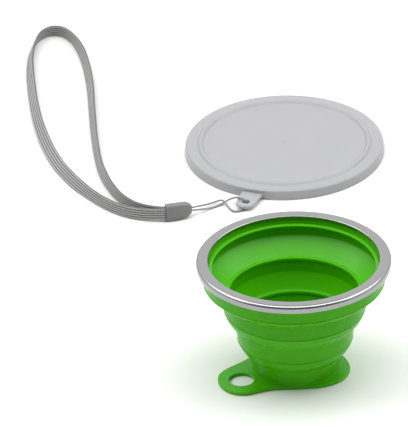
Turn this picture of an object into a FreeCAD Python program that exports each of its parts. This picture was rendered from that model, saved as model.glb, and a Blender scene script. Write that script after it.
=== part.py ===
"""Collapsible travel cup: a folding silicone cup with a steel rim, its lid and the lid's wrist strap.

Units are millimetres. The origin is the centre of the cup's underside, on the table, with +Z up
and the front of the cup towards -Y. The cup stands open, and the lid and strap lie behind it.
"""
import FreeCAD
import Part
import math
import os

V = FreeCAD.Vector

# how much of the shorter run beside a corner its arc takes
ARC_SHARE = 0.45

# ---- driving dimensions of the cup ----
CUP_HEIGHT = 58.0
RIM_RADIUS = 45.0
RIM_INNER_RADIUS = 39.4
RIM_SKIRT_DEPTH = 3.6
RIM_LIP_DEPTH = 1.5
STEEL = 0.7
BAND_WALL = 2.0
FOLD_WALL = 1.1
PLATE_THICKNESS = 1.6
FLOOR_THICKNESS = 2.2
EDGE_ROUND = 0.5

# outer radius and height above the table of each band's top and bottom edges
UPPER_TOP = (41.9, CUP_HEIGHT - RIM_SKIRT_DEPTH)
UPPER_BOTTOM = (41.7, 47.0)
MIDDLE_TOP = (32.4, 40.8)
MIDDLE_BOTTOM = (32.6, 32.8)
LOWER_TOP = (27.9, 25.8)
LOWER_BOTTOM = (26.5, 17.0)
BASE_TOP = (21.6, 10.2)
BASE_BOTTOM = (19.9, PLATE_THICKNESS)
GRIP_RADIUS = 37.9
GRIP_DEPTH = 3.4

# the silicone swells out under the steel, and its inside has a grip ridge below the steel lip
LIP_CLEARANCE = 0.4
RIDGE_SHOULDER = 0.6
RIDGE_ABOVE = 0.5
RIDGE_BELOW = 0.9
RIDGE_RUNOUT = 2.2

# plate under the cup: a hanging tab with a hole on the left, a short ear on the right, and a round back
PLATE_OUTLINE = [
    (20.6, 9.4), (23.5, 4.4), (24.9, -1.2), (24.7, -6.2), (22.6, -11.6), (18.6, -15.9), (12.4, -18.9),
    (5.0, -20.1), (-3.0, -20.4), (-10.8, -20.7), (-16.8, -22.6), (-22.6, -24.8), (-28.6, -24.1),
    (-33.3, -20.0), (-35.9, -13.4), (-35.4, -7.0), (-31.8, -1.8), (-26.0, 3.2), (-20.4, 8.8),
    (-14.8, 14.6), (-7.8, 19.0), (0.0, 20.5), (7.8, 19.0), (15.0, 14.8),
]
TAB_HOLE_CENTRE = (-25.1, -12.4)
TAB_HOLE_RADIUS = 5.6

# ---- lid, lying on the table behind the cup ----
LID_CENTRE = (-3.2, 204.0)
LID_RADIUS = 47.5
LID_HEIGHT = 4.8
LID_WALL = 1.4
LID_CORNER = 1.1
BEAD_OUTER = 41.2
BEAD_INNER = 38.9
BEAD_HEIGHT = 0.8
BEAD_SLOPE = 0.3
PLUG_OUTER = 39.1
PLUG_WALL = 1.2
PLUG_DEPTH = 2.0
SNAP_RADIUS = 45.2
SNAP_HEIGHT = 0.9
LUG_ANGLE = -109.5
LUG_TIP = 61.0
LUG_WIDTH = 9.0
LUG_BOTTOM = 1.6
LUG_TOP = 3.0
LUG_HOLE_AT = 56.0
LUG_HOLE_RADIUS = 1.7

# ---- wrist strap ----
CLAMP_LENGTH = 12.6
CLAMP_HEIGHT = 8.4
CLAMP_THICKNESS = 3.9
CLAMP_START = (-59.8, 139.4)
CLAMP_TURN = 16.0
CLAMP_NOSE = 2.4
CLAMP_TOP_SLOPE = 0.3
CLAMP_NOSE_TOP = 1.6
CLAMP_NOSE_BOTTOM = 2.6
CLAMP_BELLY = 1.2
CLAMP_NOSE_TAPER = 0.6
CLAMP_ROUND = 0.35
WEB_WIDTH = 6.0
WEB_THICKNESS = 1.2
STRING_DIAMETER = 1.0

# the webbing stands on its edge on the table, from the clamp round the loop and back
TABLE_GAP = 0.05
WEB_Z = TABLE_GAP + WEB_WIDTH / 2
WEB_ROUTE = [
    (-59.7, 138.7), (-69.8, 139.2), (-84.2, 146.6), (-99.6, 166.2), (-112.4, 193.8), (-120.8, 229.0),
    (-124.4, 266.0), (-125.6, 299.0), (-120.5, 321.2), (-109.0, 324.0), (-100.2, 304.2), (-95.9, 271.0),
    (-94.9, 238.8), (-93.2, 206.6), (-90.2, 180.2), (-81.9, 156.3), (-70.4, 143.0), (-59.9, 140.2),
]

# the string runs from the clamp over the lid's lug, down its hole, out below it and back to the clamp
STRING_ROUTE = [
    (-47.9, 142.3, 3.8), (-43.6, 145.4, 2.4), (-38.6, 149.6, 0.55), (-33.4, 153.2, 0.55),
    (-29.9, 154.7, 2.4), (-26.1, 154.1, 3.9), (-21.9, 151.2, 3.9), (-21.9, 151.2, 0.55),
    (-23.6, 146.9, 0.55), (-27.6, 145.6, 0.55), (-30.6, 149.3, 1.2), (-31.6, 152.5, 1.9),
    (-33.4, 155.4, 1.9), (-37.6, 154.2, 0.9), (-42.4, 148.8, 2.6), (-47.9, 143.2, 4.8),
]


def polygon(points):
    """Closed wire through the points."""
    return Part.makePolygon(list(points) + [points[0]])


def revolved(outline):
    """Solid of revolution of a closed (radius, height) outline about the cup's axis."""
    face = Part.Face(polygon([V(radius, 0, height) for radius, height in outline]))
    return face.revolve(V(0, 0, 0), V(0, 0, 1), 360)


def disc(radius, thickness, centre=(0, 0), bottom=0):
    """Flat round disc."""
    return Part.makeCylinder(radius, thickness, V(centre[0], centre[1], bottom))


def inward(point, wall):
    """The same height, one wall nearer the axis."""
    return (point[0] - wall, point[1])


def band(top, bottom):
    """A stiff upright ring of the cup's wall."""
    return revolved([top, inward(top, BAND_WALL), inward(bottom, BAND_WALL), bottom])


def fold(top, bottom):
    """The thin sloping ring between two bands, which turns inside out when the cup collapses."""
    inner_top = (top[0] - BAND_WALL, top[1])
    inner_bottom = (bottom[0] - BAND_WALL, bottom[1])
    shrink = (BAND_WALL - FOLD_WALL) / 2
    middle_radius = (top[0] + bottom[0]) / 2
    middle_height = (top[1] + bottom[1]) / 2
    outer_middle = (middle_radius - shrink, middle_height)
    inner_middle = (middle_radius - BAND_WALL + shrink, middle_height)
    return revolved([top, outer_middle, bottom, inner_bottom, inner_middle, inner_top])


def steel_rim():
    """Rolled steel channel over the top edge: flat top, outer skirt and a short inner lip."""
    top = CUP_HEIGHT
    shell = revolved([
        (RIM_INNER_RADIUS, top), (RIM_RADIUS, top), (RIM_RADIUS, top - RIM_SKIRT_DEPTH),
        (RIM_RADIUS - STEEL, top - RIM_SKIRT_DEPTH), (RIM_RADIUS - STEEL, top - STEEL),
        (RIM_INNER_RADIUS + STEEL, top - STEEL), (RIM_INNER_RADIUS + STEEL, top - RIM_LIP_DEPTH),
        (RIM_INNER_RADIUS, top - RIM_LIP_DEPTH),
    ])
    return rounded_at(shell, top, (RIM_INNER_RADIUS, RIM_RADIUS), EDGE_ROUND)


def rounded_at(solid, height, radii, size):
    """Round the circular edges that lie at one height and have one of the radii."""
    edges = []
    for edge in solid.Edges:
        box = edge.BoundBox
        level = abs(box.ZMax - height) < 1e-6 and abs(box.ZMin - height) < 1e-6
        if level and any(abs(box.XMax - radius) < 1e-6 for radius in radii):
            edges.append(edge)
    return solid.makeFillet(size, edges)


def upper_band():
    """Top ring of the silicone: it fills the steel channel and has a grip ridge below the steel lip."""
    channel_top = CUP_HEIGHT - STEEL
    lip_bottom = CUP_HEIGHT - RIM_LIP_DEPTH
    skirt_inside = RIM_RADIUS - STEEL
    lip_outside = RIM_INNER_RADIUS + STEEL
    ridge_height = CUP_HEIGHT - GRIP_DEPTH
    wall_top = ridge_height - RIDGE_RUNOUT
    lip_clear = lip_bottom - LIP_CLEARANCE
    return revolved([
        (lip_outside, channel_top), (skirt_inside, channel_top), (skirt_inside, UPPER_TOP[1]),
        UPPER_TOP, UPPER_BOTTOM, inward(UPPER_BOTTOM, BAND_WALL), (UPPER_TOP[0] - BAND_WALL, wall_top),
        (GRIP_RADIUS, ridge_height - RIDGE_BELOW), (GRIP_RADIUS, ridge_height + RIDGE_ABOVE),
        (lip_outside - RIDGE_SHOULDER, lip_clear), (lip_outside, lip_clear),
    ])


def base_plate():
    """Flat plate inside one smooth closed outline."""
    outline = Part.BSplineCurve()
    outline.interpolate([V(x, y, 0) for x, y in PLATE_OUTLINE], PeriodicFlag=True)
    return Part.Face(Part.Wire(outline.toShape())).extrude(V(0, 0, PLATE_THICKNESS))


def cup_base():
    """Bottom bowl with its floor, on the flat plate with the hanging tab and the ear."""
    bowl = revolved([
        (0, 0), (BASE_BOTTOM[0], 0), BASE_BOTTOM, BASE_TOP, inward(BASE_TOP, BAND_WALL),
        (BASE_BOTTOM[0] - BAND_WALL, FLOOR_THICKNESS), (0, FLOOR_THICKNESS),
    ])
    hole = disc(TAB_HOLE_RADIUS, 3 * PLATE_THICKNESS, TAB_HOLE_CENTRE, -PLATE_THICKNESS)
    return bowl.fuse(base_plate()).cut(hole).removeSplitter()


def lid_lug():
    """Rounded lug at the lid's edge, with the hole that the string goes through."""
    half = LUG_WIDTH / 2
    thickness = LUG_TOP - LUG_BOTTOM
    root = LID_RADIUS - LID_WALL
    straight = Part.makeBox(LUG_TIP - half - root, LUG_WIDTH, thickness, V(root, -half, LUG_BOTTOM))
    lug = straight.fuse(disc(half, thickness, (LUG_TIP - half, 0), LUG_BOTTOM))
    hole = disc(LUG_HOLE_RADIUS, 3 * thickness, (LUG_HOLE_AT, 0), LUG_BOTTOM - thickness)
    lug = lug.cut(hole)
    lug.rotate(V(0, 0, 0), V(0, 0, 1), LUG_ANGLE)
    return lug


def lid():
    """Shallow cap: flat top with a raised bead, a skirt with a snap ridge, and a ring that fits the rim."""
    inside = LID_RADIUS - LID_WALL
    ceiling = LID_HEIGHT - LID_WALL
    cap = revolved([
        (0, LID_HEIGHT), (BEAD_INNER, LID_HEIGHT), (BEAD_INNER + BEAD_SLOPE, LID_HEIGHT + BEAD_HEIGHT),
        (BEAD_OUTER - BEAD_SLOPE, LID_HEIGHT + BEAD_HEIGHT), (BEAD_OUTER, LID_HEIGHT),
        (LID_RADIUS - LID_CORNER, LID_HEIGHT), (LID_RADIUS, LID_HEIGHT - LID_CORNER), (LID_RADIUS, 0),
        (inside, 0), (SNAP_RADIUS, SNAP_HEIGHT / 2), (inside, SNAP_HEIGHT), (inside, ceiling),
        (PLUG_OUTER, ceiling), (PLUG_OUTER, ceiling - PLUG_DEPTH),
        (PLUG_OUTER - PLUG_WALL, ceiling - PLUG_DEPTH), (PLUG_OUTER - PLUG_WALL, ceiling), (0, ceiling),
    ])
    cap = cap.fuse(lid_lug()).removeSplitter()
    cap.translate(V(LID_CENTRE[0], LID_CENTRE[1], 0))
    return cap


def strap_clamp():
    """Tapered plastic end that grips the webbing at its wide end and the string at its narrow end."""
    shoulder = CLAMP_LENGTH - CLAMP_NOSE
    side = Part.Face(polygon([
        V(0, 0, 0), V(0, 0, CLAMP_HEIGHT), V(shoulder, 0, CLAMP_HEIGHT - CLAMP_TOP_SLOPE),
        V(CLAMP_LENGTH, 0, CLAMP_HEIGHT - CLAMP_NOSE_TOP), V(CLAMP_LENGTH, 0, CLAMP_NOSE_BOTTOM),
        V(shoulder, 0, CLAMP_BELLY),
    ]))
    body = side.extrude(V(0, CLAMP_THICKNESS, 0))
    body.translate(V(0, -CLAMP_THICKNESS / 2, 0))
    half = CLAMP_THICKNESS / 2
    half_end = half - CLAMP_NOSE_TAPER
    plan = Part.Face(polygon([
        V(0, -half, 0), V(shoulder, -half, 0), V(CLAMP_LENGTH, -half_end, 0),
        V(CLAMP_LENGTH, half_end, 0), V(shoulder, half, 0), V(0, half, 0),
    ])).extrude(V(0, 0, CLAMP_HEIGHT))
    body = body.common(plan)
    body = body.makeFillet(CLAMP_ROUND, body.Edges)
    body.rotate(V(0, 0, 0), V(0, 0, 1), CLAMP_TURN)
    body.translate(V(CLAMP_START[0], CLAMP_START[1], 0))
    return body


def rounded_path(points, name):
    """Straight runs joined by tangent arcs, nearly as large as their runs allow. Prints the radii."""
    edges = []
    radii = []
    start = points[0]
    for before, corner, after in zip(points, points[1:], points[2:]):
        back = before - corner
        on = after - corner
        shorter = min(back.Length, on.Length)
        half_turn = (math.pi - back.getAngle(on)) / 2
        tangent = ARC_SHARE * shorter
        radius = tangent / math.tan(half_turn)
        back.normalize()
        on.normalize()
        first = corner + back * tangent
        last = corner + on * tangent
        bisector = back + on
        bisector.normalize()
        inner = corner + bisector * (radius / math.cos(half_turn) - radius)
        edges.append(Part.LineSegment(start, first).toShape())
        edges.append(Part.Arc(first, inner, last).toShape())
        radii.append(radius)
        start = last
    edges.append(Part.LineSegment(start, points[-1]).toShape())
    wire = Part.Wire(edges)
    print(name, "arc radii", [round(radius, 1) for radius in radii], "length", round(wire.Length, 1))
    return wire


def swept(path, profile, area, name):
    """The profile swept along the path, with its volume compared with the section times the length."""
    solid = path.makePipeShell([profile], True, False)
    print(name, "volume over section times length", round(solid.Volume / (area * path.Length), 4))
    return solid


def strap_webbing():
    """Flat woven loop standing on its edge."""
    points = [V(x, y, WEB_Z) for x, y in WEB_ROUTE]
    path = rounded_path(points, "webbing")
    along = points[1] - points[0]
    along.normalize()
    across = V(-along.y, along.x, 0) * (WEB_THICKNESS / 2)
    up = V(0, 0, WEB_WIDTH / 2)
    start = points[0]
    profile = polygon([start + across + up, start - across + up, start - across - up, start + across - up])
    return swept(path, profile, WEB_WIDTH * WEB_THICKNESS, "webbing")


def strap_string():
    """Thin round string from the clamp through the lid's lug and back."""
    points = [V(*point) for point in STRING_ROUTE]
    path = rounded_path(points, "string")
    radius = STRING_DIAMETER / 2
    profile = Part.Wire(Part.makeCircle(radius, points[0], points[1] - points[0]))
    return swept(path, profile, math.pi * radius ** 2, "string")


def main():
    os.makedirs("parts", exist_ok=True)
    nodes = {
        "steel_rim": steel_rim(),
        "upper_band": upper_band(),
        "upper_fold": fold(UPPER_BOTTOM, MIDDLE_TOP),
        "middle_band": band(MIDDLE_TOP, MIDDLE_BOTTOM),
        "middle_fold": fold(MIDDLE_BOTTOM, LOWER_TOP),
        "lower_band": band(LOWER_TOP, LOWER_BOTTOM),
        "lower_fold": fold(LOWER_BOTTOM, BASE_TOP),
        "cup_base": cup_base(),
        "lid": lid(),
        "strap_clamp": strap_clamp(),
        "strap_webbing": strap_webbing(),
        "strap_string": strap_string(),
    }
    for name, shape in nodes.items():
        print(name, "valid", shape.isValid(), "solids", len(shape.Solids), "volume", round(shape.Volume, 1))
        shape.exportStep("parts/" + name + ".step")


main()
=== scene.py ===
"""Collapsible travel cup with its lid and wrist strap, laid out as a Blender add-on and run as a script.

Every length is in metres, in the frame of the cup's CAD model: the origin is the centre of the
cup's underside, +Z is up and the front of the cup faces -Y.
"""
import math

import bmesh
import bpy
from mathutils import Matrix, Vector


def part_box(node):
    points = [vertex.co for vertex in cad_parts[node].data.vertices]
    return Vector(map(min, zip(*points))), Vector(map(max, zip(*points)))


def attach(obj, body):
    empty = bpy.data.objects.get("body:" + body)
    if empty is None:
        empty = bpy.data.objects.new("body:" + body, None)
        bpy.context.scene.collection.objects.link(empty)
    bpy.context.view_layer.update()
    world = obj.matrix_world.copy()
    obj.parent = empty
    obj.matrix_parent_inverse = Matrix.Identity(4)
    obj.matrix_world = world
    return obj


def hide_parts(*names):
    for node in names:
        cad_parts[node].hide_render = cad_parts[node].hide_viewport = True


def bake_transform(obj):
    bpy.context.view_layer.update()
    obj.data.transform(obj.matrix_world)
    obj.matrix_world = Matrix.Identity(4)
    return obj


bl_info = {
    "name": "Collapsible Travel Cup",
    "version": (1, 0, 0),
    "blender": (4, 5, 0),
    "location": "3D View > Sidebar > Travel Cup",
    "description": "Builds a folding silicone cup with its steel rim, lid and wrist strap",
    "category": "Object",
}

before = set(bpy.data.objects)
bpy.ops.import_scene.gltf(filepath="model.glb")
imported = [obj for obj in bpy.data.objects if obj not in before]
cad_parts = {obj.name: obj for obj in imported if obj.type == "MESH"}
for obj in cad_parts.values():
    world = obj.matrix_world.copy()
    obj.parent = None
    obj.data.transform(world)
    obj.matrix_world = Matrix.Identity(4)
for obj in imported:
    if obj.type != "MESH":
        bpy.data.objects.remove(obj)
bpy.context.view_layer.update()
MM = 0.001

# steps round a full turn, for the lathe-turned pieces
TURN_STEPS = 144
ARC_STEPS = 6
SHARP_ANGLE = math.radians(50)


def linear(code):
    """Linear RGB of an sRGB hex colour."""
    channels = [int(code[i:i + 2], 16) / 255 for i in (1, 3, 5)]
    return tuple(c / 12.92 if c <= 0.04045 else ((c + 0.055) / 1.055) ** 2.4 for c in channels)


def opaque(rgb):
    return (rgb[0], rgb[1], rgb[2], 1.0)


# ---------------------------------------------------------------- settings


class CupSizes(bpy.types.PropertyGroup):
    """Sizes of the moulded details that are finer than the CAD model's."""

    wall: bpy.props.FloatProperty(
        name="Band wall", description="Thickness of the stiff bands of the cup's wall",
        default=2.0 * MM, unit="LENGTH", subtype="DISTANCE")
    fold_bulge: bpy.props.FloatProperty(
        name="Fold bulge", description="How far a fold swells outward from a straight cone",
        default=0.9 * MM, unit="LENGTH", subtype="DISTANCE")
    rim_round: bpy.props.FloatProperty(
        name="Rim rounding", description="Radius of the rolled outer edge of the steel rim",
        default=1.5 * MM, unit="LENGTH", subtype="DISTANCE")
    plate: bpy.props.FloatProperty(
        name="Plate thickness", description="Thickness of the flat plate with the hanging tab",
        default=1.6 * MM, unit="LENGTH", subtype="DISTANCE")
    web_width: bpy.props.FloatProperty(
        name="Webbing width", description="Width of the strap's woven webbing",
        default=6.0 * MM, unit="LENGTH", subtype="DISTANCE")
    web_thickness: bpy.props.FloatProperty(
        name="Webbing thickness", description="Thickness of the strap's woven webbing",
        default=1.2 * MM, unit="LENGTH", subtype="DISTANCE")
    string_diameter: bpy.props.FloatProperty(
        name="String diameter", description="Diameter of the twisted string at the strap's end",
        default=1.0 * MM, unit="LENGTH", subtype="DISTANCE")


class CupColours(bpy.types.PropertyGroup):
    """Colours that come in several versions of the cup."""

    silicone: bpy.props.FloatVectorProperty(
        name="Silicone", description="Colour of the folding cup", subtype="COLOR",
        default=linear("#46A900"), min=0.0, max=1.0)
    lid: bpy.props.FloatVectorProperty(
        name="Lid", description="Tint of the frosted lid", subtype="COLOR",
        default=linear("#A2A2A4"), min=0.0, max=1.0)
    clamp: bpy.props.FloatVectorProperty(
        name="Clamp", description="Colour of the strap's plastic clamp", subtype="COLOR",
        default=linear("#747274"), min=0.0, max=1.0)
    yarn: bpy.props.FloatVectorProperty(
        name="Yarn", description="Colour of the webbing's yarn and of the string", subtype="COLOR",
        default=linear("#A3A2A0"), min=0.0, max=1.0)


# ---------------------------------------------------------------- node and mesh helpers


def add(tree, kind, inputs=None, **settings):
    """Adds one node, sets its settings, and fills its inputs with values or other nodes' outputs."""
    node = tree.nodes.new(kind)
    for name, value in settings.items():
        setattr(node, name, value)
    for key, value in (inputs or {}).items():
        if isinstance(value, bpy.types.NodeSocket):
            tree.links.new(value, node.inputs[key])
        else:
            node.inputs[key].default_value = value
    return node


def new_material(name):
    """An empty node material and its tree."""
    material = bpy.data.materials.new(name)
    material.use_nodes = True
    material.node_tree.nodes.clear()
    return material, material.node_tree


def add_piece(name, points, faces, material, smooth=True):
    """A mesh object with one material, in the CAD model's frame."""
    mesh = bpy.data.meshes.new(name)
    mesh.from_pydata([tuple(p) for p in points], [], faces)
    mesh.materials.append(material)
    mesh.polygons.foreach_set("use_smooth", [smooth] * len(mesh.polygons))
    mesh.update()
    piece = bpy.data.objects.new(name, mesh)
    bpy.context.scene.collection.objects.link(piece)
    return piece


def settle(piece):
    """Merges doubled points and turns every face outward."""
    work = bmesh.new()
    work.from_mesh(piece.data)
    bmesh.ops.remove_doubles(work, verts=work.verts, dist=1e-7)
    bmesh.ops.recalc_face_normals(work, faces=work.faces)
    work.to_mesh(piece.data)
    work.free()
    piece.data.set_sharp_from_angle(angle=SHARP_ANGLE)
    return piece


def rounded(corners):
    """A flat outline from (x, y, radius) corners, each corner turned into an arc of its radius."""
    outline = []
    count = len(corners)
    for i, (x, y, radius) in enumerate(corners):
        here = Vector((x, y))
        before = Vector(corners[i - 1][:2]) - here
        after = Vector(corners[(i + 1) % count][:2]) - here
        if radius <= 0 or before.length < 1e-9 or after.length < 1e-9:
            outline.append(here)
            continue
        half = before.angle(after) / 2
        reach = min(radius / math.tan(half), 0.49 * before.length, 0.49 * after.length)
        radius = reach * math.tan(half)
        start = here + before.normalized() * reach
        end = here + after.normalized() * reach
        centre = here + (before.normalized() + after.normalized()).normalized() * (radius / math.sin(half))
        first = start - centre
        sweep = first.angle_signed(end - centre)
        for step in range(ARC_STEPS + 1):
            turn = -sweep * step / ARC_STEPS
            outline.append(centre + Matrix.Rotation(turn, 2) @ first)
    return outline


def lathe(outline, centre=(0.0, 0.0), steps=TURN_STEPS):
    """Points and faces of a closed (radius, height) outline turned about an upright axis."""
    points, faces = [], []
    for step in range(steps):
        turn = 2 * math.pi * step / steps
        for radius, height in outline:
            x = centre[0] + radius * math.cos(turn)
            y = centre[1] + radius * math.sin(turn)
            points.append((x, y, height))
    ring = len(outline)
    for step in range(steps):
        here, there = step * ring, (step + 1) % steps * ring
        for i in range(ring):
            j = (i + 1) % ring
            faces.append((here + i, here + j, there + j, there + i))
    return points, faces


def turned_piece(name, corners, material, centre=(0.0, 0.0)):
    """A lathe-turned closed piece from its rounded section."""
    points, faces = lathe(rounded(corners), centre)
    return settle(add_piece(name, points, faces, material))


def round_outline(discs, inset, steps=240):
    """The outline round several discs, each a centre and a radius, drawn in by an inset."""
    outline = []
    for step in range(steps):
        turn = 2 * math.pi * step / steps
        way = Vector((math.cos(turn), math.sin(turn)))
        centre, radius = max(discs, key=lambda d: Vector(d[0]).dot(way) + d[1])
        outline.append(Vector(centre) + way * (radius - inset))
    return outline


def inset_outline(outline, inset):
    """A closed flat outline, drawn in by an inset."""
    moved = []
    count = len(outline)
    for i, point in enumerate(outline):
        ahead = (outline[(i + 1) % count] - outline[i - 1]).normalized()
        moved.append(point + Vector((-ahead[1], ahead[0])) * inset)
    return moved


def closed_spline(points, steps=10):
    """A smooth closed outline through flat points."""
    outline = []
    count = len(points)
    for i in range(count):
        p0, p1, p2, p3 = (Vector(points[(i + k) % count]) for k in (-1, 0, 1, 2))
        for step in range(steps):
            t = step / steps
            outline.append(0.5 * (2 * p1 + (p2 - p0) * t + (2 * p0 - 5 * p1 + 4 * p2 - p3) * t ** 2
                                  + (3 * p1 - p0 - 3 * p2 + p3) * t ** 3))
    return outline


def edge_profile(thickness, radius, steps=4):
    """(inset, height) pairs up a plate's rounded edge."""
    profile = []
    for i in range(steps + 1):
        turn = math.pi / 2 * i / steps
        profile.append((radius * (1 - math.sin(turn)), radius * (1 - math.cos(turn))))
    return profile + [(inset, thickness - height) for inset, height in reversed(profile)]


def plate_piece(name, outline, hole, thickness, rounding, bottom, material):
    """A flat plate with a round hole and rounded edges. The outline runs anticlockwise."""
    work = bmesh.new()
    edge_rings, hole_rings = [], []
    hole_line = round_outline([hole], 0.0, 72)
    for inset, height in edge_profile(thickness, rounding):
        z = bottom + height
        edge_rings.append([work.verts.new((q[0], q[1], z)) for q in inset_outline(outline, inset)])
        hole_rings.append([work.verts.new((q[0], q[1], z)) for q in inset_outline(hole_line, -inset)])
    for rings in (edge_rings, hole_rings):
        for lower, upper in zip(rings, rings[1:]):
            for i in range(len(lower)):
                work.faces.new((lower[i - 1], lower[i], upper[i], upper[i - 1]))
    for level in (0, -1):
        edges = []
        for ring in (edge_rings[level], hole_rings[level]):
            edges += [work.edges.get((ring[i - 1], ring[i])) for i in range(len(ring))]
        bmesh.ops.triangle_fill(work, use_beauty=True, edges=edges)
    mesh = bpy.data.meshes.new(name)
    bmesh.ops.recalc_face_normals(work, faces=work.faces)
    work.to_mesh(mesh)
    work.free()
    mesh.materials.append(material)
    for face in mesh.polygons:
        face.use_smooth = abs(face.normal.z) < 0.999
    plate = bpy.data.objects.new(name, mesh)
    bpy.context.scene.collection.objects.link(plate)
    return plate


# ---------------------------------------------------------------- materials


def silicone_material():
    """Platinum-cured silicone, moulded in a satin mould: silky, with a soft wide sheen."""
    material, tree = new_material("Silicone rubber, satin moulded")
    colours = bpy.context.scene.cup_colours
    place = add(tree, "ShaderNodeTexCoord").outputs["Object"]
    # mould grain of about 0.3 mm is too fine to show, so it is drawn at 0.8 mm
    grain = add(tree, "ShaderNodeTexNoise", {"Vector": place, "Scale": 1 / (0.8 * MM), "Detail": 2.0})
    # slight flow marks a few centimetres wide, where the rubber filled the mould
    cloud = add(tree, "ShaderNodeTexNoise", {"Vector": place, "Scale": 1 / (18 * MM), "Detail": 1.0})
    base = opaque(colours.silicone)
    deep = (base[0] * 0.86, base[1] * 0.93, base[2] * 0.8, 1.0)
    tint = add(tree, "ShaderNodeMix", {0: cloud.outputs["Fac"], 6: deep, 7: base}, data_type="RGBA")
    rough = add(tree, "ShaderNodeMapRange", {"Value": cloud.outputs["Fac"], "To Min": 0.24, "To Max": 0.32})
    bump = add(tree, "ShaderNodeBump", {"Height": grain.outputs["Fac"], "Strength": 0.02,
                                        "Distance": 0.05 * MM})
    shader = add(tree, "ShaderNodeBsdfPrincipled", {
        "Base Color": tint.outputs[2], "Roughness": rough.outputs["Result"], "IOR": 1.41,
        "Specular IOR Level": 0.22, "Normal": bump.outputs["Normal"],
    })
    add(tree, "ShaderNodeOutputMaterial", {"Surface": shader.outputs["BSDF"]})
    return material


def steel_material():
    """Rolled 18/8 stainless steel with a satin polish: soft grey, with bright lines on its rolled edges."""
    material, tree = new_material("Stainless steel, satin polished")
    place = add(tree, "ShaderNodeTexCoord").outputs["Object"]
    # polishing marks of about 0.1 mm are drawn at 0.7 mm so that they show
    brushed = add(tree, "ShaderNodeTexNoise", {"Vector": place, "Scale": 1 / (0.7 * MM), "Detail": 3.0})
    rough = add(tree, "ShaderNodeMapRange", {"Value": brushed.outputs["Fac"], "To Min": 0.13, "To Max": 0.2})
    bump = add(tree, "ShaderNodeBump", {"Height": brushed.outputs["Fac"], "Strength": 0.03,
                                        "Distance": 0.05 * MM})
    shader = add(tree, "ShaderNodeBsdfPrincipled", {
        "Base Color": opaque(linear("#9B9B9C")), "Metallic": 1.0, "Roughness": rough.outputs["Result"],
        "Normal": bump.outputs["Normal"],
    })
    add(tree, "ShaderNodeOutputMaterial", {"Surface": shader.outputs["BSDF"]})
    return material


def lid_material():
    """Natural polypropylene, injection moulded: milky and frosted, with a soft gloss."""
    material, tree = new_material("Polypropylene, frosted translucent")
    colours = bpy.context.scene.cup_colours
    place = add(tree, "ShaderNodeTexCoord").outputs["Object"]
    # cloudy flow marks about a centimetre wide, as natural polypropylene has
    flow = add(tree, "ShaderNodeTexNoise", {"Vector": place, "Scale": 1 / (12 * MM), "Detail": 2.0})
    base = opaque(colours.lid)
    deep = tuple(0.94 * c for c in base[:3]) + (1.0,)
    tint = add(tree, "ShaderNodeMix", {0: flow.outputs["Fac"], 6: deep, 7: base}, data_type="RGBA")
    rough = add(tree, "ShaderNodeMapRange", {"Value": flow.outputs["Fac"], "To Min": 0.2, "To Max": 0.28})
    # frosting of about 0.2 mm is drawn at 1 mm
    fine = add(tree, "ShaderNodeTexNoise", {"Vector": place, "Scale": 1 / (1.0 * MM), "Detail": 2.0})
    bump = add(tree, "ShaderNodeBump", {"Height": fine.outputs["Fac"], "Strength": 0.02,
                                        "Distance": 0.1 * MM})
    shader = add(tree, "ShaderNodeBsdfPrincipled", {
        "Base Color": tint.outputs[2], "Roughness": rough.outputs["Result"], "IOR": 1.49,
        "Alpha": 0.9, "Normal": bump.outputs["Normal"],
        "Subsurface Weight": 0.2, "Subsurface Radius": (1.0, 1.0, 1.0), "Subsurface Scale": 1.0 * MM,
    })
    add(tree, "ShaderNodeOutputMaterial", {"Surface": shader.outputs["BSDF"]})
    return material


def clamp_material():
    """ABS, moulded with a satin mould texture: even grey with a low soft gloss."""
    material, tree = new_material("ABS, satin moulded")
    colours = bpy.context.scene.cup_colours
    place = add(tree, "ShaderNodeTexCoord").outputs["Object"]
    # mould texture of about 0.2 mm, drawn at 0.6 mm
    grain = add(tree, "ShaderNodeTexNoise", {"Vector": place, "Scale": 1 / (0.6 * MM), "Detail": 2.0})
    rough = add(tree, "ShaderNodeMapRange", {"Value": grain.outputs["Fac"], "To Min": 0.34, "To Max": 0.46})
    base = opaque(colours.clamp)
    deep = tuple(0.93 * c for c in base[:3]) + (1.0,)
    tint = add(tree, "ShaderNodeMix", {0: grain.outputs["Fac"], 6: deep, 7: base}, data_type="RGBA")
    bump = add(tree, "ShaderNodeBump", {"Height": grain.outputs["Fac"], "Strength": 0.06,
                                        "Distance": 0.1 * MM})
    shader = add(tree, "ShaderNodeBsdfPrincipled", {
        "Base Color": tint.outputs[2], "Roughness": rough.outputs["Result"], "IOR": 1.53,
        "Normal": bump.outputs["Normal"],
    })
    add(tree, "ShaderNodeOutputMaterial", {"Surface": shader.outputs["BSDF"]})
    return material


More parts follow.
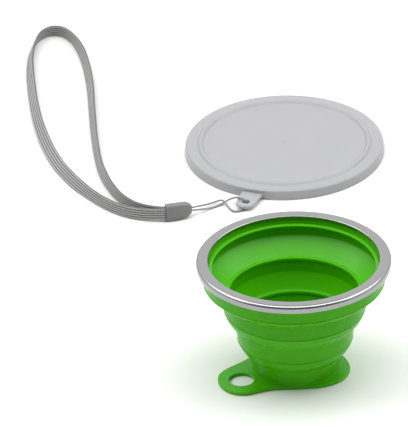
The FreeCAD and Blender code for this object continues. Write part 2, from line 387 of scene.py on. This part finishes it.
def webbing_material(width, ribs):
    """Knitted polyester ribs: pale shiny yarn in chains of stitches, with painted shade in the gaps between
    the ribs.
    """
    material, tree = new_material("Polyester webbing, chain knitted")
    colours = bpy.context.scene.cup_colours
    # stitches of about 0.8 mm are drawn at 1.25 mm so that they show
    stitch = 1.25 * MM
    place = add(tree, "ShaderNodeUVMap", uv_map="UVMap")
    split = add(tree, "ShaderNodeSeparateXYZ", {"Vector": place.outputs["UV"]})
    across = add(tree, "ShaderNodeMath", {0: split.outputs["X"], 1: ribs / width}, operation="MULTIPLY")
    off_gap = add(tree, "ShaderNodeMath", {0: across.outputs[0], 1: 0.5}, operation="PINGPONG")
    slant = add(tree, "ShaderNodeMath", {0: off_gap.outputs[0], 1: 0.8}, operation="MULTIPLY")
    along = add(tree, "ShaderNodeMath", {0: split.outputs["Y"], 1: 1 / stitch}, operation="MULTIPLY")
    phase = add(tree, "ShaderNodeMath", {0: along.outputs[0], 1: slant.outputs[0]}, operation="ADD")
    loop = add(tree, "ShaderNodeMath", {0: phase.outputs[0], 1: 0.5}, operation="PINGPONG")
    # painted shade: the gaps between ribs get a shade colour, deepest between two stitches, where the
    # valleys lie in shadow
    rib_shade = add(tree, "ShaderNodeMapRange", {"Value": off_gap.outputs[0], "From Min": 0.1,
                                                 "From Max": 0.32})
    loop_shade = add(tree, "ShaderNodeMapRange", {"Value": loop.outputs[0], "From Min": 0.02,
                                                  "From Max": 0.3, "To Min": 0.0, "To Max": 0.4})
    shade = add(tree, "ShaderNodeMath", {0: rib_shade.outputs["Result"], 1: loop_shade.outputs["Result"]},
                operation="MAXIMUM")
    # painted shade between two stitches, which is also the dip in the bump's height
    stitch_dip_shade = add(tree, "ShaderNodeMapRange", {"Value": loop.outputs[0], "From Max": 0.22, "To Min": 0.72})
    whole = add(tree, "ShaderNodeMath", {0: shade.outputs[0], 1: stitch_dip_shade.outputs["Result"]},
                operation="MULTIPLY")
    # the near-black colour is painted shade, laid into the gaps by the same mask that sets the bump's height
    tint = add(tree, "ShaderNodeMix", {0: whole.outputs[0], 6: opaque(linear("#262625")),
                                       7: opaque(colours.yarn)}, data_type="RGBA")
    bump = add(tree, "ShaderNodeBump", {"Height": whole.outputs[0], "Strength": 0.5,
                                        "Distance": 0.2 * MM})
    shader = add(tree, "ShaderNodeBsdfPrincipled", {
        "Base Color": tint.outputs[2], "Roughness": 0.42, "IOR": 1.5, "Normal": bump.outputs["Normal"],
        "Sheen Weight": 0.15, "Sheen Roughness": 0.35,
    })
    add(tree, "ShaderNodeOutputMaterial", {"Surface": shader.outputs["BSDF"]})
    return material


def string_material():
    """Twisted nylon string: smooth grey filament with painted shade in the valleys between its strands."""
    material, tree = new_material("Nylon string, twisted")
    colours = bpy.context.scene.cup_colours
    place = add(tree, "ShaderNodeTexCoord").outputs["Object"]
    # filament bundles of about 0.5 mm, with painted shade towards their edges, in the valleys between them
    picks = add(tree, "ShaderNodeTexVoronoi", {"Vector": place, "Scale": 1 / (0.5 * MM)})
    yarn = opaque(tuple(0.8 * c for c in colours.yarn))
    # painted shade: the valleys between filament bundles take this darker colour
    valley_shade = opaque(tuple(0.5 * c for c in colours.yarn))
    tint = add(tree, "ShaderNodeMix", {0: picks.outputs["Distance"], 6: yarn, 7: valley_shade}, data_type="RGBA")
    bump = add(tree, "ShaderNodeBump", {"Height": picks.outputs["Distance"], "Strength": 0.3,
                                        "Distance": 0.1 * MM})
    shader = add(tree, "ShaderNodeBsdfPrincipled", {
        "Base Color": tint.outputs[2], "Roughness": 0.4, "IOR": 1.53, "Normal": bump.outputs["Normal"],
    })
    add(tree, "ShaderNodeOutputMaterial", {"Surface": shader.outputs["BSDF"]})
    return material


def backdrop_material():
    """Matt white paper sweep: even and shadow-soft."""
    material, tree = new_material("Paper backdrop, matt white")
    place = add(tree, "ShaderNodeTexCoord").outputs["Object"]
    fibre = add(tree, "ShaderNodeTexNoise", {"Vector": place, "Scale": 1 / (40 * MM), "Detail": 1.0})
    rough = add(tree, "ShaderNodeMapRange", {"Value": fibre.outputs["Fac"], "To Min": 0.88, "To Max": 0.95})
    shader = add(tree, "ShaderNodeBsdfPrincipled", {
        "Base Color": opaque(linear("#E5E5E4")), "Roughness": rough.outputs["Result"],
        "Specular IOR Level": 0.1,
    })
    add(tree, "ShaderNodeOutputMaterial", {"Surface": shader.outputs["BSDF"]})
    return material


# ---------------------------------------------------------------- shape of the cup, from the frame

# how far the inside corners of the wall stand above the outside ones, and the inner ridges' size
INNER_RISE = 1.1 * MM
RIDGE_RISE = 0.6 * MM
RIDGE_STAND = 0.7 * MM
RIDGE_WIDTH = 0.8 * MM
# how far below its crest the ridge is at its fullest, and where it has run out into the wall
RIDGE_BELLY = 1.4 * MM
RIDGE_FOOT = 2.4 * MM
# how far a fold's inside is from straight: less than its outside, so the fold is thick in the middle
INNER_BULGE = 0.15 * MM
# how far the fine beads outside the wall stand out
BEAD_STAND = 0.25 * MM

# the flat plate's outline, anticlockwise: the ear on the right, the tab on the left, a round back
PLATE_OUTLINE = [
    (0.0206, 0.0094), (0.0150, 0.0148), (0.0078, 0.0190), (0.0000, 0.0205), (-0.0078, 0.0190),
    (-0.0148, 0.0146), (-0.0204, 0.0088), (-0.0260, 0.0032), (-0.0318, -0.0018), (-0.0354, -0.0070),
    (-0.0359, -0.0134), (-0.0333, -0.0200), (-0.0286, -0.0241), (-0.0226, -0.0248), (-0.0168, -0.0226),
    (-0.0108, -0.0207), (-0.0030, -0.0204), (0.0050, -0.0201), (0.0124, -0.0189), (0.0186, -0.0159),
    (0.0226, -0.0116), (0.0247, -0.0062), (0.0249, -0.0012), (0.0235, 0.0044),
]
TAB_HOLE = ((-0.0251, -0.0124), 0.0056)


class CupShape:
    """Radii and heights of the cup's bands, read from the CAD nodes' boxes."""

    def __init__(self, sizes):
        box = {name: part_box(name) for name in (
            "steel_rim", "upper_band", "upper_fold", "middle_band", "middle_fold",
            "lower_band", "lower_fold", "cup_base")}
        half = {name: (corners[1][0] - corners[0][0]) / 2 for name, corners in box.items()}
        top = {name: corners[1][2] for name, corners in box.items()}
        low = {name: corners[0][2] for name, corners in box.items()}
        self.rim_radius, self.rim_top, self.rim_low = half["steel_rim"], top["steel_rim"], low["steel_rim"]
        self.channel_radius, self.channel_top = half["upper_band"], top["upper_band"]
        self.upper = (half["upper_fold"], top["upper_fold"])
        self.middle_top = (half["middle_band"] - 0.2 * MM, top["middle_band"])
        self.middle_low = (half["middle_fold"], low["middle_band"])
        self.lower_top = (half["lower_band"], top["lower_band"])
        self.lower_low = (half["lower_fold"], low["lower_band"])
        self.base_top = (self.lower_low[0] - 4.9 * MM, top["cup_base"])
        self.base_low = (self.base_top[0] - 1.7 * MM, sizes.plate)
        self.wall, self.bulge = sizes.wall, sizes.fold_bulge

    def fold_outside(self, top, low):
        """Points down the outside of a fold, swollen outward from a straight cone."""
        return self.swollen(top, low, self.bulge)

    def fold_inside(self, top, low):
        """Points up the inside of a fold, from its inner ridge to the band above it."""
        inner_top = (top[0] - self.wall, top[1] + INNER_RISE)
        inner_low = (low[0] - self.wall + RIDGE_WIDTH, low[1] + RIDGE_RISE)
        return self.swollen(inner_top, inner_low, INNER_BULGE)[::-1]

    def inner_ridge(self, low):
        """The small round ridge inside the cup where a fold runs down into a band."""
        radius = low[0] - self.wall
        crest = low[1] + RIDGE_RISE
        return [(radius, crest - RIDGE_FOOT, 0.8 * MM),
                (radius - RIDGE_STAND, crest - RIDGE_BELLY, 0.6 * MM),
                (radius - RIDGE_STAND, crest, 0.7 * MM), (radius + RIDGE_WIDTH, crest, 0.3 * MM)]

    def inner_step(self, top):
        """The inside corner where a band runs down into the fold below it."""
        return (top[0] - self.wall, top[1] + INNER_RISE, 0.9 * MM)

    @staticmethod
    def edge_above_fold(corner):
        """The outside corner of a band above a fold, with its fine moulded bead."""
        return [(corner[0], corner[1] + 2 * BEAD_STAND, 0.1 * MM),
                (corner[0] + BEAD_STAND, corner[1], 0.15 * MM)]

    @staticmethod
    def edge_below_fold(corner):
        """The outside corner of a band below a fold, with its fine moulded bead."""
        return [(corner[0] + BEAD_STAND, corner[1], 0.15 * MM),
                (corner[0], corner[1] - 2 * BEAD_STAND, 0.1 * MM)]

    @staticmethod
    def swollen(top, low, bulge, steps=7):
        start, end = Vector(top), Vector(low)
        slope = (end - start).normalized()
        outward = Vector((-slope[1], slope[0]))
        points = []
        for i in range(1, steps):
            t = i / steps
            along = start.lerp(end, t) + outward * (bulge * 4 * t * (1 - t))
            points.append((along[0], along[1], 0))
        return points


def grip_outline(shape):
    """Outside and inside of the top band, from its lower edge up round the grip and down again."""
    r, wall = shape.upper[0], shape.wall
    skirt = shape.rim_low
    lip = shape.rim_top - 1.9 * MM
    inner = shape.rim_radius - 4.9 * MM
    grip = inner - 2.6 * MM
    ridge = shape.rim_top - 3.9 * MM
    return [
        (shape.channel_radius, shape.channel_top, 0), (shape.channel_radius, skirt, 0),
        (r + 0.2 * MM, skirt, 0.2 * MM), *shape.edge_above_fold(shape.upper),
    ], [
        shape.inner_step(shape.upper), (r + 0.2 * MM - wall, ridge - 2.2 * MM, 1.0 * MM),
        (grip, ridge - 1.2 * MM, 0.9 * MM), (grip, ridge, 0.8 * MM),
        (grip + 1.7 * MM, ridge + 0.1 * MM, 0.4 * MM), (inner - 0.4 * MM, ridge - 0.7 * MM, 0.3 * MM),
        (inner - 0.1 * MM, lip, 0.1 * MM), (inner, lip, 0), (inner, shape.channel_top, 0),
    ]


def stage_piece(name, section, material):
    """One turned length of the cup's wall, with its transform baked into its points."""
    piece = turned_piece(name, section, material)
    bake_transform(piece)
    return piece


class BuildCupWall(bpy.types.Operator):
    """Builds the silicone wall of the cup in three turned lengths, each with one fold"""

    bl_idname = "travel_cup.cup_wall"
    bl_label = "Cup wall"

    def execute(self, context):
        sizes = context.scene.cup_sizes
        shape = CupShape(sizes)
        material = silicone_material()
        wall = shape.wall
        middle_cut = (shape.middle_top[1] + shape.middle_low[1]) / 2
        lower_cut = (shape.lower_top[1] + shape.lower_low[1]) / 2
        middle_r = (shape.middle_top[0] + shape.middle_low[0]) / 2
        lower_r = (shape.lower_top[0] + shape.lower_low[0]) / 2
        outside, inside = grip_outline(shape)
        upper = stage_piece(
            "cup_wall_upper",
            outside + shape.fold_outside(shape.upper, shape.middle_top)
            + shape.edge_below_fold(shape.middle_top)
            + [(middle_r, middle_cut, 0), (middle_r - wall, middle_cut, 0)]
            + shape.inner_ridge(shape.middle_top)
            + shape.fold_inside(shape.upper, shape.middle_top) + inside,
            material)
        middle = stage_piece(
            "cup_wall_middle",
            [(middle_r, middle_cut, 0)] + shape.edge_above_fold(shape.middle_low)
            + shape.fold_outside(shape.middle_low, shape.lower_top)
            + shape.edge_below_fold(shape.lower_top)
            + [(lower_r, lower_cut, 0), (lower_r - wall, lower_cut, 0)]
            + shape.inner_ridge(shape.lower_top)
            + shape.fold_inside(shape.middle_low, shape.lower_top)
            + [shape.inner_step(shape.middle_low), (middle_r - wall, middle_cut, 0)],
            material)
        floor = 2.2 * MM
        foot = shape.base_low[0]
        lower = stage_piece(
            "cup_wall_lower",
            [(lower_r, lower_cut, 0)] + shape.edge_above_fold(shape.lower_low)
            + shape.fold_outside(shape.lower_low, shape.base_top)
            + shape.edge_below_fold(shape.base_top)
            + [(foot, shape.base_low[1] + 0.6 * MM, 2.0 * MM),
               (foot + 0.4 * MM, shape.base_low[1] - 0.3 * MM, 0), (foot, 0.3 * MM, 0),
               (0, 0.3 * MM, 0), (0, floor, 0), (foot - wall, floor, 1.5 * MM)]
            + shape.inner_ridge(shape.base_top)
            + shape.fold_inside(shape.lower_low, shape.base_top)
            + [shape.inner_step(shape.lower_low), (lower_r - wall, lower_cut, 0)],
            material)
        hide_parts("upper_band", "upper_fold")
        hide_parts("middle_band", "middle_fold")
        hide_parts("lower_band", "lower_fold")
        plate = plate_piece("base_plate", closed_spline(PLATE_OUTLINE), TAB_HOLE, sizes.plate, 0.55 * MM,
                            0.0, material)
        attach(plate, "base")
        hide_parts("cup_base")
        return {"FINISHED"}


LID_WALL = 1.4 * MM
LID_BEAD_HEIGHT = 0.8 * MM
LUG_HEADING = -109.5
LUG_WIDTH = 9.0 * MM
LUG_TIP = 61.0 * MM
LUG_HOLE_AT = 56.0 * MM
LUG_HOLE_RADIUS = 1.7 * MM
LUG_BOTTOM = 1.6 * MM
LUG_THICKNESS = 1.4 * MM


class BuildSteelRim(bpy.types.Operator):
    """Builds the rolled steel rim over the cup's top edge"""

    bl_idname = "travel_cup.steel_rim"
    bl_label = "Steel rim"

    def execute(self, context):
        sizes = context.scene.cup_sizes
        shape = CupShape(sizes)
        outer, top, low = shape.rim_radius, shape.rim_top, shape.rim_low
        sheet = 0.7 * MM
        inner = outer - 5.6 * MM
        lip = top - 1.5 * MM
        section = [
            (inner, top, 0.5 * MM), (outer, top, sizes.rim_round), (outer - 0.15 * MM, low, 0.3 * MM),
            (outer - sheet, low, 0.3 * MM), (outer - sheet, top - sheet, 0.3 * MM),
            (inner + sheet, top - sheet, 0.2 * MM), (inner + sheet, lip, 0.2 * MM), (inner, lip, 0.3 * MM),
        ]
        rim = turned_piece("steel_rim_ring", section, steel_material())
        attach(rim, "rim_stage")
        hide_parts("steel_rim")
        return {"FINISHED"}


class BuildLid(bpy.types.Operator):
    """Builds the frosted lid with its bead, skirt and lug"""

    bl_idname = "travel_cup.lid"
    bl_label = "Lid"

    def execute(self, context):
        material = lid_material()
        low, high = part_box("lid")
        radius = (high[0] - low[0]) / 2
        centre = ((low[0] + high[0]) / 2, high[1] - radius)
        top = high[2] - LID_BEAD_HEIGHT
        under = top - LID_WALL
        inside = radius - LID_WALL
        bead_out, bead_in = radius - 6.0 * MM, radius - 8.9 * MM
        plug = radius - 8.4 * MM
        gate = 1.3 * MM
        cap = turned_piece("lid_cap", [
            (0, top + 0.25 * MM, 0), (gate - 0.5 * MM, top + 0.25 * MM, 0.1 * MM),
            (gate - 0.3 * MM, top + 0.4 * MM, 0.1 * MM), (gate, top + 0.4 * MM, 0.1 * MM),
            (gate + 0.2 * MM, top + 0.25 * MM, 0.1 * MM), (bead_in * 0.6, top + 0.14 * MM, 0),
            (bead_in, top, 0.4 * MM), (bead_in + 0.9 * MM, high[2], 0.9 * MM),
            (bead_out - 0.9 * MM, high[2], 0.9 * MM), (bead_out, top, 0.5 * MM),
            (radius - 0.5 * MM, top, 1.0 * MM), (radius, 0, 0.3 * MM), (inside, 0, 0.3 * MM),
            (inside - 0.9 * MM, 0.45 * MM, 0.2 * MM), (inside, 0.9 * MM, 0), (inside, under, 0.5 * MM),
            (plug, under, 0.3 * MM), (plug, under - 2.0 * MM, 0.3 * MM),
            (plug - 1.2 * MM, under - 2.0 * MM, 0.3 * MM), (plug - 1.2 * MM, under, 0.3 * MM),
            (0, under, 0),
        ], material, centre)
        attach(cap, "lid")
        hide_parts("lid")
        self.lug(centre, inside, material)
        return {"FINISHED"}

    @staticmethod
    def lug(centre, root, material):
        """The flat lug at the skirt, with the hole for the string."""
        heading = math.radians(LUG_HEADING)
        out = Vector((math.cos(heading), math.sin(heading)))
        side = Vector((-out[1], out[0]))
        middle = Vector(centre)
        half = LUG_WIDTH / 2
        corner = 0.3 * MM
        discs = [(middle + out * (root + 0.6 * MM) + side * (half - corner + 0.8 * MM), corner),
                 (middle + out * (root + 0.6 * MM) - side * (half - corner + 0.8 * MM), corner),
                 (middle + out * (LUG_TIP - half), half)]
        hole = (middle + out * LUG_HOLE_AT, LUG_HOLE_RADIUS)
        lug = plate_piece("lid_lug", round_outline(discs, 0.0), hole, LUG_THICKNESS, 0.45 * MM,
                          LUG_BOTTOM, material)
        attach(lug, "lid")


# ---------------------------------------------------------------- strap

# control points of the webbing, on its edge on the table, out from the clamp and back to it
WEB_ROUTE = [
    (-0.0597, 0.1387, 0.0042), (-0.0698, 0.1392, 0.0034), (-0.0842, 0.1466, 0.0030),
    (-0.0996, 0.1662, 0.0030), (-0.1124, 0.1938, 0.0030), (-0.1208, 0.2290, 0.0030),
    (-0.1244, 0.2660, 0.0030), (-0.1256, 0.2990, 0.0030), (-0.1205, 0.3212, 0.0030),
    (-0.1090, 0.3240, 0.0030), (-0.1002, 0.3042, 0.0030), (-0.0959, 0.2710, 0.0030),
    (-0.0949, 0.2388, 0.0030), (-0.0932, 0.2066, 0.0030), (-0.0902, 0.1802, 0.0030),
    (-0.0819, 0.1563, 0.0030), (-0.0704, 0.1430, 0.0034), (-0.0599, 0.1402, 0.0042),
]
WEB_RIBS = 5

# how far the webbing leans over from upright, in degrees, at shares of its length
WEB_LEAN = [
    (0.0, 0.0), (0.06, -3.0), (0.1, -10.0), (0.15, -38.0), (0.194, -52.0), (0.244, -50.0), (0.292, -40.0),
    (0.341, -36.0), (0.394, -34.0), (0.441, -28.0), (0.467, -24.0), (0.5, -15.0), (0.546, 2.0),
    (0.568, 16.0), (0.593, 22.0), (0.66, 27.0), (0.75, 25.0), (0.79, 22.0), (0.875, 17.0), (0.908, 10.0),
    (0.937, 1.0), (1.0, 0.0),
]

# control points of the string: over the lug, down its hole, out below it and back to the clamp
STRING_ROUTE = [
    (-0.0479, 0.1423, 0.0038), (-0.0436, 0.1454, 0.0024), (-0.0386, 0.1496, 0.00055),
    (-0.0334, 0.1532, 0.00055), (-0.0299, 0.1547, 0.0024), (-0.0261, 0.1541, 0.0039),
    (-0.0219, 0.1512, 0.0039), (-0.0219, 0.1512, 0.00055), (-0.0236, 0.1469, 0.00055),
    (-0.0276, 0.1456, 0.00055), (-0.0306, 0.1493, 0.0012), (-0.0316, 0.1525, 0.0019),
    (-0.0334, 0.1554, 0.0019), (-0.0376, 0.1542, 0.0009), (-0.0424, 0.1488, 0.0026),
    (-0.0479, 0.1432, 0.0048),
]


def route_line(points, resolution):
    """Points read off a smooth NURBS spline that has these control points."""
    curve = bpy.data.curves.new("route", "CURVE")
    curve.dimensions = "3D"
    spline = curve.splines.new("NURBS")
    spline.points.add(len(points) - 1)
    for control, point in zip(spline.points, points):
        control.co = (*point, 1.0)
    spline.order_u = 3
    spline.use_endpoint_u = True
    spline.resolution_u = resolution
    holder = bpy.data.objects.new("route", curve)
    line = bpy.data.meshes.new_from_object(holder)
    path = [v.co.copy() for v in line.vertices]
    bpy.data.objects.remove(holder)
    bpy.data.curves.remove(curve)
    bpy.data.meshes.remove(line)
    return path


def shares_along(path):
    """Each point's distance along the path, and the whole length."""
    run = [0.0]
    for a, b in zip(path, path[1:]):
        run.append(run[-1] + (b - a).length)
    return run, run[-1]


def keyed(keys, share):
    """A value eased between (share, value) keys."""
    for (s0, v0), (s1, v1) in zip(keys, keys[1:]):
        if share <= s1:
            t = (share - s0) / (s1 - s0)
            return v0 + (v1 - v0) * t * t * (3 - 2 * t)
    return keys[-1][1]


def web_section(width, thickness, ribs):
    """(across, out) points round a flat webbing of side-by-side round ribs, with where each is across it."""
    rib = width / ribs
    half = thickness / 2
    section = []
    for side in (1, -1):
        for i in range(ribs):
            for step in range(6):
                t = step / 6
                x = -width / 2 + (i + t) * rib
                swell = math.sqrt(max(0.0, 1 - (2 * t - 1) ** 2))
                section.append((side * x, side * (half * (0.4 + 0.6 * swell))))
    return section


def tube_mesh(name, rings, material, closed_ends=True):
    """A closed tube through rings that have the same number of points."""
    points = [p for ring in rings for p in ring]
    count = len(rings[0])
    faces = []
    for k in range(len(rings) - 1):
        for i in range(count):
            j = (i + 1) % count
            faces.append((k * count + i, k * count + j, (k + 1) * count + j, (k + 1) * count + i))
    if closed_ends:
        faces.append(tuple(range(count))[::-1])
        faces.append(tuple((len(rings) - 1) * count + i for i in range(count)))
    return add_piece(name, points, faces, material)


class BuildWebbing(bpy.types.Operator):
    """Builds the woven loop of the wrist strap, standing on its edge and leaning where it bends"""

    bl_idname = "travel_cup.webbing"
    bl_label = "Strap webbing"

    def execute(self, context):
        sizes = context.scene.cup_sizes
        width, thickness = sizes.web_width, sizes.web_thickness
        path = route_line(WEB_ROUTE, 20)
        run, length = shares_along(path)
        section = web_section(width, thickness, WEB_RIBS)
        rings, centres = [], []
        for i, point in enumerate(path):
            ahead = path[min(i + 1, len(path) - 1)] - path[max(i - 1, 0)]
            ahead.normalize()
            side = Vector((0, 0, 1)).cross(ahead)
            lean = math.radians(keyed(WEB_LEAN, run[i] / length))
            upright = Vector((0, 0, 1)) * math.cos(lean) + side * math.sin(lean)
            face = side * math.cos(lean) - Vector((0, 0, 1)) * math.sin(lean)
            standing = width / 2 * math.cos(lean) + thickness / 2 * abs(math.sin(lean))
            lift = max(0.0, point[2] - width / 2)
            centre = Vector((point[0], point[1], standing + lift + 0.05 * MM))
            centres.append(centre)
            rings.append([centre + upright * across + face * out for across, out in section])
        webbing = tube_mesh("webbing_loop", rings, webbing_material(width, WEB_RIBS))
        self.lay_out_pattern(webbing, section, run, width)
        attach(webbing, "lid")
        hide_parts("strap_webbing")
        return {"FINISHED"}

    @staticmethod
    def lay_out_pattern(webbing, section, run, width):
        """UVs in metres: across the webbing and along it."""
        layer = webbing.data.uv_layers.new(name="UVMap")
        count = len(section)
        for loop in webbing.data.loops:
            ring, spot = divmod(loop.vertex_index, count)
            layer.data[loop.index].uv = (section[spot][0] + width / 2, run[ring])


class BuildString(bpy.types.Operator):
    """Builds the thin string that ties the clamp to the lid's lug"""

    bl_idname = "travel_cup.string"
    bl_label = "Strap string"

    def execute(self, context):
        diameter = context.scene.cup_sizes.string_diameter
        path = route_line(STRING_ROUTE, 14)
        run, length = shares_along(path)
        rings = []
        across = Vector((0, 0, 1))
        for i, point in enumerate(path):
            ahead = path[min(i + 1, len(path) - 1)] - path[max(i - 1, 0)]
            ahead.normalize()
            across = (across - ahead * across.dot(ahead)).normalized()
            other = ahead.cross(across)
            twist = 2 * math.pi * run[i] / (2.4 * MM)
            ring = []
            for step in range(18):
                turn = 2 * math.pi * step / 18
                radius = diameter / 2 * (0.84 + 0.16 * abs(math.cos(1.5 * (turn - twist))))
                ring.append(point + (across * math.cos(turn) + other * math.sin(turn)) * radius)
            rings.append(ring)
        string = tube_mesh("string_loop", rings, string_material())
        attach(string, "lid")
        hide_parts("strap_string")
        return {"FINISHED"}


# stations along the clamp from its wide end: distance, half thickness, bottom, top, corner radius
CLAMP_STATIONS = [
    (0.0000, 0.00165, 0.0003, 0.0081, 0.0005), (0.0003, 0.00195, 0.0000, 0.0084, 0.0007),
    (0.0040, 0.00195, 0.0001, 0.0083, 0.0007), (0.0075, 0.00195, 0.0005, 0.0082, 0.0007),
    (0.0102, 0.00192, 0.0012, 0.0080, 0.0007), (0.0116, 0.0016, 0.0019, 0.0073, 0.0007),
    (0.0124, 0.00135, 0.0026, 0.0068, 0.0006), (0.0126, 0.00105, 0.0029, 0.0064, 0.0004),
]
CLAMP_HEADING = 16.0
CLAMP_START = (-0.0598, 0.1394)


class BuildClamp(bpy.types.Operator):
    """Builds the strap's plastic clamp, which holds the webbing and the string"""

    bl_idname = "travel_cup.clamp"
    bl_label = "Strap clamp"

    def execute(self, context):
        turn = math.radians(CLAMP_HEADING)
        along = Vector((math.cos(turn), math.sin(turn), 0))
        side = Vector((-along[1], along[0], 0))
        start = Vector((*CLAMP_START, 0))
        rings = []
        for distance, half, bottom, top, radius in CLAMP_STATIONS:
            section = rounded([(-half, bottom, radius), (half, bottom, radius), (half, top, radius),
                               (-half, top, radius)])
            rings.append([start + along * distance + side * p[0] + Vector((0, 0, p[1])) for p in section])
        clamp = settle(tube_mesh("clamp_body", rings, clamp_material()))
        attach(clamp, "lid")
        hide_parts("strap_clamp")
        return {"FINISHED"}


# ---------------------------------------------------------------- stage

CAMERA_ELEVATION = 29.8
CAMERA_ROLL = 1.2
CAMERA_LENS = 1000.0
CAMERA_DISTANCE = 5.44
# where the picture's middle is from the middle of the steel rim
AIM_RIGHT = -0.0411
AIM_UP = 0.0206
# soft boxes: name, direction from the point they face, distance, width and length, watts
LIGHT_TARGET = (0.0, 0.06, 0.03)
SOFT_BOXES = (
    ("softbox_left", (-0.56, 0.1, 0.82), 1.1, (0.65, 1.0), 6.5),
    ("softbox_right", (0.56, 0.1, 0.82), 1.1, (0.65, 1.0), 6.5),
    ("softbox_top", (0.0, -0.12, 0.99), 1.2, (0.9, 0.9), 9.0),
)


def soft_box(name, direction, distance, size, power):
    """A rectangular soft light that faces the cup from a direction, with its long side front to back."""
    data = bpy.data.lights.new(name, "AREA")
    data.shape = "RECTANGLE"
    data.size, data.size_y = size
    data.energy = power
    light = bpy.data.objects.new(name, data)
    back = Vector(direction).normalized()
    across = Vector((0, 1, 0)).cross(back).normalized()
    axes = Matrix((across, back.cross(across), back)).transposed().to_4x4()
    light.matrix_world = Matrix.Translation(Vector(LIGHT_TARGET) + back * distance) @ axes
    light.visible_camera = False
    bpy.context.scene.collection.objects.link(light)


class BuildStage(bpy.types.Operator):
    """Sets up the camera, the pale floor, the soft lights and the sky"""

    bl_idname = "travel_cup.stage"
    bl_label = "Stage"

    def execute(self, context):
        scene = context.scene
        scene.view_settings.view_transform = "Standard"
        self.camera(scene)
        self.floor()
        self.sky(scene)
        for settings in SOFT_BOXES:
            soft_box(*settings)
        return {"FINISHED"}

    @staticmethod
    def camera(scene):
        tilt, roll = math.radians(CAMERA_ELEVATION), math.radians(CAMERA_ROLL)
        back = Vector((0, -math.cos(tilt), math.sin(tilt)))
        level = Vector((1, 0, 0))
        rise = back.cross(level)
        right = level * math.cos(roll) - rise * math.sin(roll)
        up = level * math.sin(roll) + rise * math.cos(roll)
        rim = Vector((0, 0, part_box("steel_rim")[1][2]))
        place = rim + back * CAMERA_DISTANCE
        away = (place - rim - right * AIM_RIGHT - up * AIM_UP).normalized()
        across = up.cross(away).normalized()
        data = bpy.data.cameras.new("camera")
        data.lens = CAMERA_LENS
        data.sensor_width = 36.0
        data.clip_start, data.clip_end = 0.5, 50.0
        camera = bpy.data.objects.new("camera", data)
        axes = Matrix((across, away.cross(across), away)).transposed().to_4x4()
        camera.matrix_world = Matrix.Translation(place) @ axes
        scene.collection.objects.link(camera)
        scene.camera = camera

    @staticmethod
    def floor():
        half = 3.0
        floor = add_piece("floor", [(-half, -half, 0), (half, -half, 0), (half, half, 0), (-half, half, 0)],
                          [(0, 1, 2, 3)], backdrop_material(), smooth=False)

    @staticmethod
    def sky(scene):
        """A pale sky that is brightest low behind the cup, and darker overhead and in front."""
        world = bpy.data.worlds.new("studio")
        world.use_nodes = True
        tree = world.node_tree
        tree.nodes.clear()
        way = add(tree, "ShaderNodeTexCoord").outputs["Generated"]
        split = add(tree, "ShaderNodeSeparateXYZ", {"Vector": way})
        rising = add(tree, "ShaderNodeMapRange", {
            "Value": split.outputs["Z"], "From Min": 0.05, "From Max": 0.4, "To Min": 0.8, "To Max": 1.22},
            interpolation_type="SMOOTHSTEP")
        overhead = add(tree, "ShaderNodeMapRange", {
            "Value": split.outputs["Z"], "From Min": 0.6, "From Max": 0.92, "To Min": 1.0, "To Max": 0.08},
            interpolation_type="SMOOTHSTEP")
        forward = add(tree, "ShaderNodeMapRange", {
            "Value": split.outputs["Y"], "From Min": -0.8, "From Max": 0.3, "To Min": 0.2, "To Max": 1.0},
            interpolation_type="SMOOTHSTEP")
        level = add(tree, "ShaderNodeMath", {0: rising.outputs["Result"], 1: overhead.outputs["Result"]},
                    operation="MULTIPLY")
        level = add(tree, "ShaderNodeMath", {0: level.outputs[0], 1: forward.outputs["Result"]},
                    operation="MULTIPLY")
        light = add(tree, "ShaderNodeBackground", {"Color": (1, 1, 1, 1), "Strength": level.outputs[0]})
        add(tree, "ShaderNodeOutputWorld", {"Surface": light.outputs["Background"]})
        scene.world = world


# ---------------------------------------------------------------- add-on


BUILDERS = (BuildStage, BuildWebbing, BuildString, BuildCupWall, BuildSteelRim, BuildLid, BuildClamp)


class CupPanel(bpy.types.Panel):
    """Lists the pieces of the cup, their sizes and their colours"""

    bl_idname = "VIEW3D_PT_travel_cup"
    bl_label = "Travel Cup"
    bl_space_type = "VIEW_3D"
    bl_region_type = "UI"
    bl_category = "Travel Cup"

    def draw(self, context):
        layout = self.layout
        for group in (context.scene.cup_sizes, context.scene.cup_colours):
            for name in group.__annotations__:
                layout.prop(group, name)
        for builder in BUILDERS:
            layout.operator(builder.bl_idname)


CLASSES = (CupSizes, CupColours, *BUILDERS, CupPanel)


def register():
    for item in CLASSES:
        bpy.utils.register_class(item)
    bpy.types.Scene.cup_sizes = bpy.props.PointerProperty(type=CupSizes)
    bpy.types.Scene.cup_colours = bpy.props.PointerProperty(type=CupColours)


def unregister():
    del bpy.types.Scene.cup_colours
    del bpy.types.Scene.cup_sizes
    for item in reversed(CLASSES):
        bpy.utils.unregister_class(item)


def main():
    register()
    for builder in BUILDERS:
        group, name = builder.bl_idname.split(".")
        if getattr(getattr(bpy.ops, group), name)() != {"FINISHED"}:
            raise RuntimeError(builder.bl_label + " was not built")


if __name__ == "__main__":
    main()
